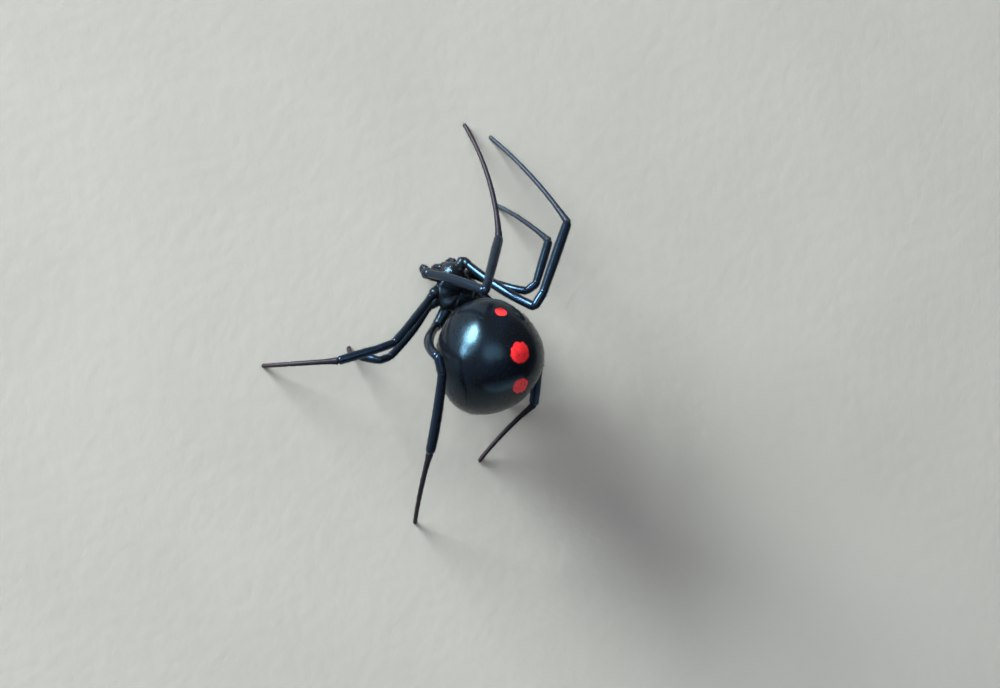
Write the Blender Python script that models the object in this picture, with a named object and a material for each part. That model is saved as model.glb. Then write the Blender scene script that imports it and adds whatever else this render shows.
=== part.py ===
"""A female black widow spider, whole and still, at life size.

The spider stands on eight feet with its knees arched, its head towards -Y, its left side
towards +X and its back towards +Z. The floor is z = 0. Places are given in millimetres from
the point on the floor under the middle of the abdomen, and to_world() turns them into metres
round the part's own origin, which is the middle of the part's footprint.
"""
import math

import bpy
import numpy as np

MM = 0.001
GAP = 0.3                       # space kept between two pieces that touch, mm

# Middle of the whole leg spread, seen from above, in body places (mm).
FOOTPRINT_MIDDLE = (3.280, -3.120)

# Abdomen: a globe, a little longer than wide and fullest behind its middle.
ABDOMEN_MIDDLE = (0.15, 0.0, 6.28)
ABDOMEN_LONG = 8.7
ABDOMEN_WIDE = 8.1
ABDOMEN_HIGH = 8.2
ABDOMEN_TURN = math.radians(-2.9)     # its front points to its right
ABDOMEN_LEAN = math.radians(4.0)      # its back leans to its right
ABDOMEN_DIP = math.radians(2.8)       # its front end is the lower one
ABDOMEN_REAR_DROOP = 1.2              # how far the rear end lies under the middle line
ABDOMEN_FRONT_DROOP = 0.15
ABDOMEN_FULL_REAR = 0.075             # how much more girth the rear half has
BELLY_SHARE = 0.97                    # depth of the belly against the height of the back

# Cephalothorax: carapace above, sternum below, with the roots of all the legs.
CARAPACE_FRONT = -7.45
CARAPACE_REAR = -3.60
CARAPACE_WIDE = 3.3
HEAD_WIDE = 1.75
CARAPACE_EDGE = 2.95                  # height of its widest line over the floor
HEAD_RISE = 1.2
THORAX_RISE = 0.85
STERNUM_DEPTH = 0.66
PEDICEL_GIRTH = 0.8
EYE_RADIUS = 0.12
EYE_PLACES = ((0.10, 69), (0.10, 36), (0.19, 68), (0.17, 31))   # share of length, degrees up

# Legs: half thickness of each pair's femur, numbered from the front.
FEMUR_RADIUS = {1: 0.385, 2: 0.345, 3: 0.325, 4: 0.39}
COXA_RADIUS = 0.5
COXA_START = 0.48                     # sideways distance of the coxae's inner ends
COXA_FIRST_ROW = -6.38
COXA_SPACING = 0.66
TROCHANTER_LENGTH = 0.62
ANKLE_RADIUS = 0.31                   # metatarsus, just under the tibia
FOOT_RADIUS = 0.25                    # metatarsus, from a quarter of its length on
TIP_RADIUS = 0.17                     # end of the tarsus, where it meets the floor
LEG_SIDES = 12

# Where each leg bends (mm): root is the end of its trochanter, then the two ends of the
# patella, the ankle between tibia and metatarsus, and the tip on the floor. The bows say how
# far the middle of femur, tibia and foot stands off the straight line.
STRAIGHT = (0.0, 0.0, 0.0)
LEGS = {
    "left_1": dict(pair=1, root=(1.92, -6.93, 3.34), knee=(0.84, -4.86, 9.30),
                   shin=(0.21, -5.36, 8.83), ankle=(-3.45, -8.31, 5.36), tip=(-5.69, -17.37),
                   femur_bow=(0.10, -0.20, 0.0), tibia_bow=STRAIGHT, foot_bow=(-0.46, -0.03, 0.35)),
    "left_2": dict(pair=2, root=(2.27, -5.10, 3.15), knee=(7.01, -2.65, 5.10),
                   shin=(8.25, -2.53, 5.05), ankle=(11.35, -2.38, 4.20), tip=(15.52, -3.23),
                   femur_bow=(-0.10, -0.05, 0.15), tibia_bow=STRAIGHT, foot_bow=(0.10, 0.0, 0.40)),
    "left_3": dict(pair=3, root=(2.16, -4.29, 2.02), knee=(7.08, -1.67, 3.95),
                   shin=(7.97, -1.62, 4.00), ankle=(8.92, -2.22, 2.90), tip=(8.27, -2.92),
                   femur_bow=(0.0, 0.15, 0.10), tibia_bow=STRAIGHT, foot_bow=(0.30, 0.10, 0.0)),
    "left_4": dict(pair=4, root=(2.25, -2.85, 2.80), knee=(5.34, -1.07, 8.30),
                   shin=(5.34, 0.21, 8.30), ankle=(6.70, 5.83, 6.03), tip=(6.33, 11.21),
                   femur_bow=(0.66, -0.05, -0.05), tibia_bow=(-0.09, 0.03, 0.05),
                   foot_bow=(0.35, 0.11, 0.32)),
    "right_1": dict(pair=1, root=(-1.53, -6.82, 3.24), knee=(-3.58, -2.78, 8.10),
                    shin=(-4.43, -3.60, 8.30), ankle=(-8.80, -8.26, 6.70), tip=(-7.62, -15.99),
                    femur_bow=(0.05, 0.30, 0.05), tibia_bow=STRAIGHT, foot_bow=(-0.15, -0.13, 0.30)),
    "right_2": dict(pair=2, root=(-2.30, -5.80, 2.70), knee=(-4.47, -3.96, 5.90),
                    shin=(-5.19, -4.30, 6.20), ankle=(-7.70, -7.18, 5.17), tip=(-6.79, -10.73),
                    femur_bow=(-0.02, 0.22, 0.05), tibia_bow=STRAIGHT, foot_bow=(-0.09, -0.11, 0.13)),
    "right_3": dict(pair=3, root=(-2.45, -4.75, 2.20), knee=(-4.30, -0.90, 2.90),
                    shin=(-4.70, 0.15, 2.75), ankle=(-4.90, 1.90, 1.75), tip=(-3.60, 4.40),
                    femur_bow=(-0.1, 0.0, 0.10), tibia_bow=STRAIGHT, foot_bow=(-0.08, 0.0, 0.20)),
    "right_4": dict(pair=4, root=(-1.95, -4.10, 2.95), knee=(-4.80, -0.30, 4.95),
                    shin=(-4.94, 0.84, 4.74), ankle=(-4.88, 4.82, 2.03), tip=(-0.18, 8.06),
                    femur_bow=(-0.20, 0.0, 0.0), tibia_bow=STRAIGHT, foot_bow=(0.24, -0.17, 0.26)),
}


# ---------------------------------------------------------------- small tools

def vec(*xyz):
    return np.array(xyz, dtype=float)


def unit(v):
    return v / np.linalg.norm(v)


def to_world(points):
    """Body places in mm to the part's own frame in metres."""
    shift = vec(FOOTPRINT_MIDDLE[0], FOOTPRINT_MIDDLE[1], 0.0)
    return (np.asarray(points, dtype=float) - shift) * MM


def finish(name, colour, roughness):
    """A Principled material of one colour."""
    material = bpy.data.materials.new(name)
    material.use_nodes = True
    shader = material.node_tree.nodes["Principled BSDF"]
    shader.inputs["Base Color"].default_value = (*colour, 1.0)
    shader.inputs["Roughness"].default_value = roughness
    shader.inputs["Metallic"].default_value = 0.0
    return material


def solid(name, points, faces, material):
    """A smooth-shaded object from points in mm and closed faces."""
    mesh = bpy.data.meshes.new(name)
    mesh.from_pydata([tuple(p) for p in to_world(points)], [], faces)
    mesh.validate()
    mesh.materials.append(material)
    mesh.shade_smooth()
    mesh.set_sharp_from_angle(angle=math.radians(50))
    thing = bpy.data.objects.new(name, mesh)
    bpy.context.scene.collection.objects.link(thing)
    return thing


def skin_rings(rings):
    """Points and faces of a closed skin over rings of equal count, with a middle point on
    each end ring."""
    count = len(rings[0])
    points = [p for ring in rings for p in ring]
    faces = []
    for k in range(len(rings) - 1):
        for j in range(count):
            a, b = k * count + j, k * count + (j + 1) % count
            faces.append((a, b, b + count, a + count))
    first, last = len(points), len(points) + 1
    points.append(np.mean(rings[0], axis=0))
    points.append(np.mean(rings[-1], axis=0))
    end = (len(rings) - 1) * count
    for j in range(count):
        faces.append((first, (j + 1) % count, j))
        faces.append((last, end + j, end + (j + 1) % count))
    return points, faces


def tube_rings(path, radii, start_plane=None, end_plane=None, sides=LEG_SIDES, corner=0.8):
    """Rings round a path. An end plane is the unit normal that the end ring is cut to, and no
    corner of that cut stands out past the path's end by more than `corner` radii."""
    path = np.asarray(path, dtype=float)
    tangents = [unit(b - a) for a, b in zip(path[:-1], path[1:])]
    along = [tangents[0]] + [unit(a + b) for a, b in zip(tangents[:-1], tangents[1:])] + [tangents[-1]]
    side = unit(np.cross(along[0], vec(0.31, 0.17, 0.93)))
    rings = []
    for k, (centre, direction, radius) in enumerate(zip(path, along, radii)):
        side = unit(side - direction * np.dot(side, direction))
        other = np.cross(direction, side)
        angles = np.arange(sides) * 2 * math.pi / sides
        ring = centre + radius * (np.outer(np.cos(angles), side) + np.outer(np.sin(angles), other))
        if k == 0 and start_plane is not None:
            slide = (ring - centre) @ start_plane / np.dot(direction, start_plane)
            ring = ring - np.outer(np.minimum(slide, corner * radius), direction)
        if k == len(path) - 1 and end_plane is not None:
            slide = (ring - centre) @ end_plane / np.dot(direction, end_plane)
            ring = ring - np.outer(np.maximum(slide, -corner * radius), direction)
        rings.append(ring)
    return rings


def tube(name, path, radii, material, **cut):
    return solid(name, *skin_rings(tube_rings(path, radii, **cut)), material)


def bowed(start, end, bow, count):
    """A curve from start to end whose middle stands off by bow: a parabola."""
    t = np.linspace(0.0, 1.0, count)[:, None]
    return start + (end - start) * t + 4.0 * t * (1.0 - t) * bow


def swell(t, marks):
    """Radius along a limb, read from (place, radius) marks with smooth steps between."""
    places, sizes = zip(*marks)
    k = np.clip(np.searchsorted(places, t, side="right") - 1, 0, len(places) - 2)
    low, high = np.take(places, k), np.take(places, k + 1)
    s = (t - low) / (high - low)
    s = s * s * (3 - 2 * s)
    return np.take(sizes, k) * (1 - s) + np.take(sizes, k + 1) * s


def fuse(name, pieces, material, solver="EXACT"):
    """One closed body from overlapping closed pieces: the first joined to all the rest."""
    body, others = pieces[0], pieces[1:]
    group = bpy.data.collections.new(name + "_pieces")
    bpy.context.scene.collection.children.link(group)
    for other in others:
        bpy.context.scene.collection.objects.unlink(other)
        group.objects.link(other)
    union = body.modifiers.new("union", "BOOLEAN")
    union.operation = "UNION"
    union.operand_type = "COLLECTION"
    union.collection = group
    union.solver = solver
    depsgraph = bpy.context.evaluated_depsgraph_get()
    mesh = bpy.data.meshes.new_from_object(body.evaluated_get(depsgraph))
    body.modifiers.clear()
    body.data = largest_shell(mesh, name)
    body.data.materials.clear()
    body.data.materials.append(material)
    for other in others:
        bpy.data.objects.remove(other)
    bpy.data.collections.remove(group)
    body.name = name
    return body


def largest_shell(mesh, name):
    """The mesh with only its biggest connected surface."""
    parent = list(range(len(mesh.vertices)))

    def root(v):
        while parent[v] != v:
            parent[v] = parent[parent[v]]
            v = parent[v]
        return v

    for edge in mesh.edges:
        a, b = (root(v) for v in edge.vertices)
        parent[a] = b
    groups = {}
    for face in mesh.polygons:
        groups.setdefault(root(face.vertices[0]), []).append(tuple(face.vertices))
    best = max(groups.values(), key=len)
    used = sorted({v for face in best for v in face})
    index = {v: k for k, v in enumerate(used)}
    kept = bpy.data.meshes.new(name)
    kept.from_pydata([mesh.vertices[v].co[:] for v in used], [],
                     [tuple(index[v] for v in face) for face in best])
    kept.validate()
    kept.shade_smooth()
    kept.set_sharp_from_angle(angle=math.radians(50))
    return kept


# ---------------------------------------------------------------- abdomen

def abdomen_frame():
    """Rows: the abdomen's forward, left and back-up directions in the body's frame."""
    turn, dip, lean = ABDOMEN_TURN, ABDOMEN_DIP, ABDOMEN_LEAN
    forward = vec(math.sin(turn) * math.cos(dip), -math.cos(turn) * math.cos(dip), -math.sin(dip))
    up = vec(-math.sin(lean), 0.0, math.cos(lean))
    up = unit(up - forward * np.dot(up, forward))
    return forward, np.cross(up, forward), up


def abdomen_point(s, turn):
    """Point of the abdomen's skin: s runs from -1 at the front to 1 at the rear, turn goes
    round from its left side over its back. The middle line sinks towards both ends, and the
    belly is flatter than the back."""
    forward, left, up = abdomen_frame()
    girth = math.sqrt(max(0.0, 1.0 - s * s)) * (1.0 + ABDOMEN_FULL_REAR * s)
    half_wide = ABDOMEN_WIDE / 2 * girth
    high = ABDOMEN_HIGH / 2 * girth * (1.0 if math.sin(turn) > 0 else BELLY_SHARE)
    droop = (ABDOMEN_REAR_DROOP if s > 0 else ABDOMEN_FRONT_DROOP) * s * s
    middle = vec(*ABDOMEN_MIDDLE) - forward * (s * ABDOMEN_LONG / 2) - up * droop
    return middle + left * (half_wide * math.cos(turn)) + up * (high * math.sin(turn))


def abdomen(material):
    """The globe with its spinnerets: a low collar under the rear end and three pairs of
    short cones."""
    rows, columns = 24, 32
    sweep = np.linspace(0.0, math.pi, rows + 1)[1:-1]
    turns = -np.arange(columns) * 2 * math.pi / columns
    rings = [np.array([abdomen_point(-math.cos(a), turn) for turn in turns]) for a in sweep]
    points, faces = skin_rings(rings)
    points[-2] = abdomen_point(-1.0, 0.0)
    points[-1] = abdomen_point(1.0, 0.0)
    pieces = [solid("globe", points, faces, material)]

    forward, left, up = abdomen_frame()
    seat = abdomen_point(0.76, -math.pi / 2)
    out = unit(-forward * 0.42 - up * 0.91)
    backward = unit(np.cross(left, out))
    collar = [seat - out * 0.3, seat + out * 0.16, seat + out * 0.30]
    pieces.append(tube("collar", collar, [0.70, 0.66, 0.5], material))
    for across, back, length, radius in ((0.25, -0.20, 0.80, 0.22), (0.13, 0.05, 0.55, 0.15),
                                         (0.27, 0.25, 0.72, 0.20)):
        for hand in (-1, 1):
            foot = seat + left * (across * hand) + backward * back
            end = seat + out * length + left * (across * hand * 0.8) + backward * back * 0.8
            path = [foot + (end - foot) * t for t in (0.0, 0.5, 0.85, 1.0)]
            pieces.append(tube("cone", path, [radius, radius, radius * 0.75, radius * 0.4],
                               material, sides=8))
    return fuse("abdomen", pieces, material)


# ---------------------------------------------------------------- cephalothorax

def carapace_point(s, turn):
    """Point of the carapace and sternum: s runs from 0 at the front to 1 at the rear. The
    head is narrow and raised, the thorax broad and low with a dent in its middle."""
    y = CARAPACE_FRONT + (CARAPACE_REAR - CARAPACE_FRONT) * s
    ends = math.sqrt(max(0.0, 1.0 - (2 * s - 1) ** 4))
    blend = 1.0 / (1.0 + math.exp(-(s - 0.33) * 12.0))
    half_wide = (HEAD_WIDE * (1 - blend) + CARAPACE_WIDE * blend) / 2 * ends
    rise = HEAD_RISE * (1 - blend) + THORAX_RISE * blend
    rise -= 0.14 * math.exp(-((s - 0.66) / 0.09) ** 2)
    up = math.sin(turn)
    z = up * rise * ends if up > 0 else up * STERNUM_DEPTH * ends
    return vec(half_wide * math.cos(turn), y, CARAPACE_EDGE + z)


def femur_heading(leg):
    """Direction in which a femur sets off, with its bow taken in."""
    return unit(vec(*leg["knee"]) - vec(*leg["root"]) + 4.0 * vec(*leg["femur_bow"]))


def coxa_pieces(leg, material):
    """Stout coxa from the sternum's side outwards, and the short trochanter that turns it
    into the femur's direction and ends half a gap before the femur."""
    root, heading = vec(*leg["root"]), femur_heading(leg)
    elbow = root - heading * TROCHANTER_LENGTH
    row = COXA_FIRST_ROW + COXA_SPACING * (leg["pair"] - 1)
    hip = vec(COXA_START * np.sign(root[0]), row, CARAPACE_EDGE - 0.18)
    thick = FEMUR_RADIUS[leg["pair"]]
    out = unit(elbow - hip)
    coxa = [hip, hip + (elbow - hip) * 0.55, elbow, elbow + out * 0.17, elbow + out * 0.27]
    turn = [elbow - heading * 0.1, elbow + heading * 0.1, root - heading * GAP / 2]
    return [tube("coxa", coxa, [COXA_RADIUS * k for k in (1.0, 1.0, 0.84, 0.68, 0.36)], material),
            tube("trochanter", turn, [thick * 0.84, thick * 0.94, thick * 0.86], material)]


def cephalothorax(material):
    """Carapace and sternum, the mouthparts under the head, the eight coxae with their
    trochanters, the stalk to the abdomen and eight eyes, in one body."""
    rows, columns = 15, 22
    sweep = np.linspace(0.0, math.pi, rows + 1)[1:-1]
    turns = np.arange(columns) * 2 * math.pi / columns
    rings = [np.array([carapace_point((1 - math.cos(a)) / 2, t) for t in -turns]) for a in sweep]
    points, faces = skin_rings(rings)
    pieces = [solid("shield", points, faces, material)]
    for leg in LEGS.values():
        pieces += coxa_pieces(leg, material)
    end, facing = stalk_end()
    stalk = [vec(0, CARAPACE_REAR - 0.45, CARAPACE_EDGE + 0.1), vec(0, CARAPACE_REAR, 3.1), end]
    pieces.append(tube("stalk", stalk, [PEDICEL_GIRTH / 2] * 3, material, end_plane=facing))
    for hand in (-1, 1):
        inner = vec(0.26 * hand, CARAPACE_FRONT + 1.20, CARAPACE_EDGE - 0.50)
        outer = inner + vec(0.28 * hand, -0.14, -0.16)
        pieces.append(tube("mouthpart", [inner, (inner + outer) / 2, outer], [0.2, 0.27, 0.2], material))
        for s, turn in EYE_PLACES:
            place = carapace_point(s, math.radians(turn))
            place[0] *= hand
            pieces.append(bead("eye", place, EYE_RADIUS, material))
    return fuse("cephalothorax", pieces, material, solver="MANIFOLD")


def stalk_end():
    """End of the stalk, one gap short of the abdomen's skin, and the skin's outward normal."""
    low = -math.pi / 2
    s, step = -0.74, 0.02
    seat = abdomen_point(s, low)
    facing = unit(np.cross(abdomen_point(s, low + step) - seat, abdomen_point(s + step, low) - seat))
    facing *= np.sign(np.dot(facing, seat - vec(*ABDOMEN_MIDDLE)))
    return seat + facing * GAP, facing


def bead(name, place, radius, material):
    """A small round bead of three rings."""
    rings = []
    for lift in (-0.62, 0.0, 0.62):
        angles = -np.arange(8) * 2 * math.pi / 8
        wide = radius * math.sqrt(1 - lift * lift)
        rings.append(np.array([place + vec(wide * math.cos(a), radius * lift, wide * math.sin(a))
                               for a in angles]))
    points, faces = skin_rings(rings)
    points[-2] = place + vec(0, -radius, 0)
    points[-1] = place + vec(0, radius, 0)
    return solid(name, points, faces, material)


def chelicera(hand, material):
    """Upright jaw under the head with its fang folded inwards."""
    side = "left" if hand > 0 else "right"
    top = vec(0.37 * hand, CARAPACE_FRONT + 0.24, CARAPACE_EDGE - 0.82)
    path = [top, top + vec(0.0, -0.10, -0.3), top + vec(0.01 * hand, -0.08, -0.78),
            top + vec(0.0, 0.04, -1.12)]
    jaw = tube("jaw", path, [0.27, 0.29, 0.26, 0.15], material, start_plane=vec(0, 0, -1))
    tip = path[-1]
    fang_path = [tip + vec(0, 0, 0.12), tip + vec(-0.01 * hand, 0.05, -0.10),
                 tip + vec(-0.06 * hand, 0.2, -0.24), tip + vec(-0.1 * hand, 0.38, -0.29)]
    fang = tube("fang", fang_path, [0.12, 0.11, 0.075, 0.03], material, sides=8)
    return fuse("chelicera_" + side, [jaw, fang], material)


def palp(hand, material):
    """Short feeler beside the jaws, folded down at its knee."""
    side = "left" if hand > 0 else "right"
    root, knee = vec(1.04 * hand, -6.80, 1.78), vec(1.25 * hand, -7.35, 1.60)
    wrist, end = vec(1.20 * hand, -7.48, 0.95), vec(1.02 * hand, -7.10, 0.35)
    path = [root, root + (knee - root) * 0.5, knee, knee + (wrist - knee) * 0.45, wrist,
            wrist + (end - wrist) * 0.55, end]
    return tube("palp_" + side, path, [0.23, 0.25, 0.25, 0.25, 0.22, 0.2, 0.08], material,
                start_plane=vec(0, -0.5, -0.866))


# ---------------------------------------------------------------- legs

def leg_points(leg):
    keys = ("root", "knee", "shin", "ankle")
    return [vec(*leg[key]) for key in keys] + [vec(*leg["tip"], 0.0)]


def between(a, b, c):
    """Unit normal of the plane that halves the bend at b."""
    return unit(unit(b - a) + unit(c - b))


def leg_femur(name, leg, material):
    """From the trochanter to the knee: thickest a third of the way along."""
    root, knee, shin = leg_points(leg)[:3]
    start_plane, end_plane = femur_heading(leg), between(root, knee, shin)
    start, end = root + start_plane * GAP / 2, knee - end_plane * GAP / 2
    steps = 9
    path = bowed(start, end, vec(*leg["femur_bow"]), steps)
    thick = FEMUR_RADIUS[leg["pair"]]
    radii = swell(np.linspace(0, 1, steps), ((0.0, thick * 0.84), (0.35, thick), (0.85, thick * 0.9),
                                             (1.0, thick * 0.86)))
    return tube(f"leg_{name}_femur", path, radii, material, start_plane=start_plane, end_plane=end_plane)


def leg_tibia(name, leg, material):
    """Patella and tibia: from the knee over the short patella to the ankle. A ring of the
    patella is left out where the cut of a sharp knee would reach past it."""
    root, knee, shin, ankle, tip = leg_points(leg)
    start_plane, end_plane = between(root, knee, shin), between(shin, ankle, tip)
    start, end = knee + start_plane * GAP / 2, ankle - end_plane * GAP / 2
    thick = FEMUR_RADIUS[leg["pair"]]
    patella = np.linalg.norm(shin - start)
    along = unit(shin - start)
    lean = np.dot(along, start_plane)
    reach = thick * math.sqrt(1.0 - lean * lean) / lean + 0.05
    rings = [(d, k) for d, k in ((patella * 0.45, 0.97), (patella - 0.22, 0.93)) if d > reach]
    turn_out = unit(end - shin) * 0.3
    path = [start] + [start + along * d for d, _ in rings] + [shin + (turn_out - along * 0.2) * 0.25]
    path += list(bowed(shin + turn_out, end, vec(*leg["tibia_bow"]), 6))
    radii = [0.86] + [k for _, k in rings] + [0.9, 0.90, 1.0, 1.03, 1.05, 1.04, 0.95]
    return tube(f"leg_{name}_tibia", path, [thick * k for k in radii], material,
                start_plane=start_plane, end_plane=end_plane)


def leg_foot(name, leg, material):
    """Metatarsus and tarsus: thin, slightly arched, cut level where it stands."""
    _, _, shin, ankle, tip = leg_points(leg)
    start_plane = between(shin, ankle, tip)
    start = ankle + start_plane * GAP / 2
    steps = 11
    path = bowed(start, tip, vec(*leg["foot_bow"]), steps)
    radii = swell(np.linspace(0, 1, steps), ((0.0, ANKLE_RADIUS), (0.2, FOOT_RADIUS), (0.7, FOOT_RADIUS),
                                             (1.0, TIP_RADIUS)))
    return tube(f"leg_{name}_foot", path, radii, material, start_plane=start_plane,
                end_plane=vec(0, 0, -1), corner=9.0)


# ---------------------------------------------------------------- the spider

def build():
    for thing in list(bpy.data.objects):
        bpy.data.objects.remove(thing)
    black = finish("glossy_black", (0.010, 0.010, 0.013), 0.14)
    dark = finish("dark_shell", (0.016, 0.014, 0.017), 0.32)
    legs_black = finish("leg_black", (0.014, 0.014, 0.022), 0.28)
    foot_brown = finish("foot_brown", (0.030, 0.021, 0.024), 0.36)
    abdomen(black)
    cephalothorax(dark)
    for hand in (1, -1):
        chelicera(hand, dark)
        palp(hand, dark)
    for name, leg in LEGS.items():
        leg_femur(name, leg, legs_black)
        leg_tibia(name, leg, legs_black)
        leg_foot(name, leg, foot_brown)


build()
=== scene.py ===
"""Looks of the black widow model: the skin of each part, hairs, eyes, fangs, claws and light.

Places are worked out in millimetres round the point on the floor under the middle of the
abdomen, and to_world() turns them into metres in the model's own frame. The head points
towards -Y, the spider's left side towards +X and its back towards +Z.

Every skin is a surface place(a, b): a runs along it from 0 to 1, b goes round it from 0 to a
full turn, and the direction of b crossed with the direction of a points outwards.
"""

import math

import bpy
import numpy as np
from mathutils import Matrix


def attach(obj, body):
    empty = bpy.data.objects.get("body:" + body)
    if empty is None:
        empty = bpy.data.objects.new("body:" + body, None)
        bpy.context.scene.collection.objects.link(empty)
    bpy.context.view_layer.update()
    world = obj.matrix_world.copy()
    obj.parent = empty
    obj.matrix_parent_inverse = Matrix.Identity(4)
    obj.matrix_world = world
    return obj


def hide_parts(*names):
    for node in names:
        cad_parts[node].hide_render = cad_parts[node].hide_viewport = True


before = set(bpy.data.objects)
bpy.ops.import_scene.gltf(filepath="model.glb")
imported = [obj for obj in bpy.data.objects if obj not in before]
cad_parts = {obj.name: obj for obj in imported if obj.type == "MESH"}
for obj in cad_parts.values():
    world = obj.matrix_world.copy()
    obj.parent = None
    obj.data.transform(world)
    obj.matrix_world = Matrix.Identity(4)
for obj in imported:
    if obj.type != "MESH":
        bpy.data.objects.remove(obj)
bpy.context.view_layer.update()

# ---------------------------------------------------------------- sizes, in mm
MM = 0.001
FOOTPRINT_MIDDLE = np.array((3.280, -3.120, 0.0))
COAT_DEPTH = 0.020              # how far the skin lies inside the solid
FULL_TURN = 2 * math.pi
TINY = 1e-9                     # keeps lengths away from zero

ABDOMEN_MIDDLE = np.array((0.15, 0.0, 6.28))
ABDOMEN_LONG, ABDOMEN_WIDE, ABDOMEN_HIGH = 8.7, 8.1, 8.2
ABDOMEN_TURN, ABDOMEN_LEAN, ABDOMEN_DIP = (math.radians(d) for d in (-2.9, 4.0, 2.8))
ABDOMEN_REAR_DROOP, ABDOMEN_FRONT_DROOP = 1.2, 0.15
ABDOMEN_FULL_REAR, BELLY_SHARE = 0.075, 0.97

CARAPACE_FRONT, CARAPACE_REAR = -7.45, -3.60
CARAPACE_WIDE, HEAD_WIDE = 3.3, 1.75
CARAPACE_EDGE, HEAD_RISE, THORAX_RISE, STERNUM_DEPTH = 2.95, 1.2, 0.85, 0.66
FOVEA = 0.66                    # place of the thorax's pit, as a share of its length
EYE_RADIUS = 0.105
EYE_PLACES = ((0.10, 69), (0.10, 36), (0.19, 68), (0.17, 31))   # share of length, degrees up

# Bends of the left palp; the right one is its mirror image.
PALP_ROOT, PALP_KNEE = np.array((1.04, -6.80, 1.78)), np.array((1.25, -7.35, 1.60))
PALP_WRIST, PALP_END = np.array((1.20, -7.48, 0.95)), np.array((1.02, -7.10, 0.35))

FEMUR_RADIUS = {1: 0.385, 2: 0.345, 3: 0.325, 4: 0.39}
COXA_RADIUS, COXA_START, COXA_FIRST_ROW, COXA_SPACING = 0.5, 0.48, -6.38, 0.66
TROCHANTER_LENGTH = 0.62
METATARSUS_RADIUS, TARSUS_RADIUS = 0.190, 0.168
METATARSUS_SHARE = 0.66         # how much of the foot is metatarsus
CLAW_LENGTH, CLAW_RADIUS = 0.17, 0.022
JOINT_BROWN, JOINT_REACH = 0.35, 0.16   # how much browner joints are, and over how far

STRAIGHT = (0.0, 0.0, 0.0)
LEGS = {
    "left_1": dict(pair=1, root=(1.92, -6.93, 3.34), knee=(0.84, -4.86, 9.30),
                   shin=(0.21, -5.36, 8.83), ankle=(-3.45, -8.31, 5.36), tip=(-5.69, -17.37),
                   femur_bow=(0.10, -0.20, 0.0), tibia_bow=STRAIGHT, foot_bow=(-0.46, -0.03, 0.35)),
    "left_2": dict(pair=2, root=(2.27, -5.10, 3.15), knee=(7.01, -2.65, 5.10),
                   shin=(8.25, -2.53, 5.05), ankle=(11.35, -2.38, 4.20), tip=(15.52, -3.23),
                   femur_bow=(-0.10, -0.05, 0.15), tibia_bow=STRAIGHT, foot_bow=(0.10, 0.0, 0.40)),
    "left_3": dict(pair=3, root=(2.16, -4.29, 2.02), knee=(7.08, -1.67, 3.95),
                   shin=(7.97, -1.62, 4.00), ankle=(8.92, -2.22, 2.90), tip=(8.27, -2.92),
                   femur_bow=(0.0, 0.15, 0.10), tibia_bow=STRAIGHT, foot_bow=(0.30, 0.10, 0.0)),
    "left_4": dict(pair=4, root=(2.25, -2.85, 2.80), knee=(5.34, -1.07, 8.30),
                   shin=(5.34, 0.21, 8.30), ankle=(6.70, 5.83, 6.03), tip=(6.33, 11.21),
                   femur_bow=(0.66, -0.05, -0.05), tibia_bow=(-0.09, 0.03, 0.05),
                   foot_bow=(0.35, 0.11, 0.32)),
    "right_1": dict(pair=1, root=(-1.53, -6.82, 3.24), knee=(-3.58, -2.78, 8.10),
                    shin=(-4.43, -3.60, 8.30), ankle=(-8.80, -8.26, 6.70), tip=(-7.62, -15.99),
                    femur_bow=(0.05, 0.30, 0.05), tibia_bow=STRAIGHT, foot_bow=(-0.15, -0.13, 0.30)),
    "right_2": dict(pair=2, root=(-2.30, -5.80, 2.70), knee=(-4.47, -3.96, 5.90),
                    shin=(-5.19, -4.30, 6.20), ankle=(-7.70, -7.18, 5.17), tip=(-6.79, -10.73),
                    femur_bow=(-0.02, 0.22, 0.05), tibia_bow=STRAIGHT, foot_bow=(-0.09, -0.11, 0.13)),
    "right_3": dict(pair=3, root=(-2.45, -4.75, 2.20), knee=(-4.30, -0.90, 2.90),
                    shin=(-4.70, 0.15, 2.75), ankle=(-4.90, 1.90, 1.75), tip=(-3.60, 4.40),
                    femur_bow=(-0.1, 0.0, 0.10), tibia_bow=STRAIGHT, foot_bow=(-0.08, 0.0, 0.20)),
    "right_4": dict(pair=4, root=(-1.95, -4.10, 2.95), knee=(-4.80, -0.30, 4.95),
                    shin=(-4.94, 0.84, 4.74), ankle=(-4.88, 4.82, 2.03), tip=(-0.18, 8.06),
                    femur_bow=(-0.20, 0.0, 0.0), tibia_bow=STRAIGHT, foot_bow=(0.24, -0.17, 0.26)),
}

# Red spots down the middle of the back: place along the abdomen (-1 front, 1 rear), degrees
# round from its left side, half length and half width, and degrees by which the length turns
# from straight back towards the left.
SPOTS = ((-0.683, 91.6, 0.43, 0.47, 0),
         (0.066, 92.8, 0.77, 0.80, 0),
         (0.631, 96.8, 0.84, 0.63, -45))
SPOT_EDGE = (0.93, 1.10)            # share of its size over which a spot's red fades
SPOT_REACH = (-0.0016, -0.0012)     # depth under a spot's middle, in m, where its red ends
HOURGLASS = dict(place=0.10, half_length=1.15, half_width=0.80, waist=0.16)
HOURGLASS_REACH = (0.0006, 0.0012)  # height over its middle, in m, where its red ends

# How finely each skin is divided: rings along it, and points round each ring.
MESH = {
    "abdomen": (170, 264), "spinneret": (18, 18), "shield": (120, 168), "root": (26, 20),
    "eye": (14, 20), "jaw": (36, 28), "fang": (26, 16), "palp": (24, 20), "femur": (60, 28),
    "patella": (30, 28), "tibia": (56, 28), "metatarsus": (56, 24), "tarsus": (40, 24),
    "claw": (12, 8),
}

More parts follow.
